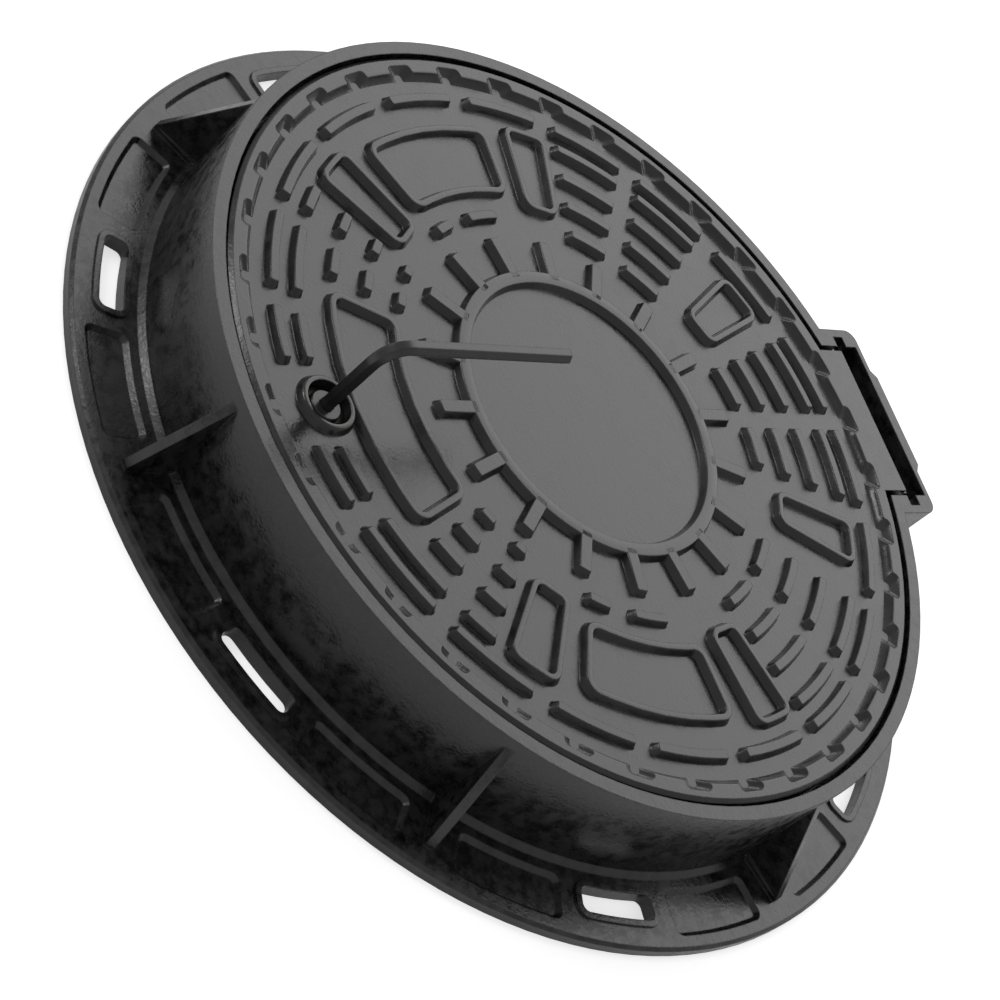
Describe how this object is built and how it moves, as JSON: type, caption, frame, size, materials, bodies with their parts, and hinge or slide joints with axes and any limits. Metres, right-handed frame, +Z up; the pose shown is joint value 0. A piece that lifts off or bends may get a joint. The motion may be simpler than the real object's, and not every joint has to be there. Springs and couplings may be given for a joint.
{
  "type": "manhole cover",
  "caption": "Round hinged manhole cover in a flanged frame, with a raised tread, a quarter-turn lock and an L-shaped key.",
  "frame": {"origin": "centre of the frame's flange at its underside", "axes": "+Z up out of the road, +Y towards the hinge, the lock lies at -Y"},
  "size_m": [0.8, 0.8, 0.1758],
  "materials": {
    "frame_iron": "satin black paint",
    "lid_iron": "satin black paint",
    "seal_rubber": "matt black elastomer",
    "pin_steel": "zinc plated",
    "lock_steel": "blackened",
    "bush_brass": "turned",
    "key_steel": "satin black"
  },
  "bodies": {
    "frame": {"frame_casting": "frame_iron", "seat_gasket": "seal_rubber"},
    "lid": {"lid_casting": "lid_iron", "hinge_pin": "pin_steel", "hinge_roll_pins": "pin_steel", "lock_bush": "bush_brass", "lock_stop_pins": "pin_steel"},
    "lock": {"lock_spindle": "lock_steel", "lock_seal_ring": "seal_rubber", "lock_thrust_washer": "bush_brass", "lock_disc_springs": "lock_steel", "lock_cam": "lock_steel", "lock_washer": "lock_steel", "lock_nut": "lock_steel", "lock_split_pin": "pin_steel"},
    "key": {"key": "key_steel"}
  },
  "joints": [
    {"name": "lid_hinge", "type": "hinge", "parent": "frame", "child": "lid", "pos_m": [0, 0.3485, 0.086], "axis": [-1, 0, 0], "range_deg": [0, 105]},
    {"name": "lock_turn", "type": "hinge", "parent": "lid", "child": "lock", "pos_m": [0, -0.2635, 0.096], "axis": [0, 0, -1], "range_deg": [0, 90]},
    {"name": "key_lift", "type": "slide", "parent": "lock", "child": "key", "axis": [0, 0, 1], "range_m": [0, 0.06]}
  ]
}
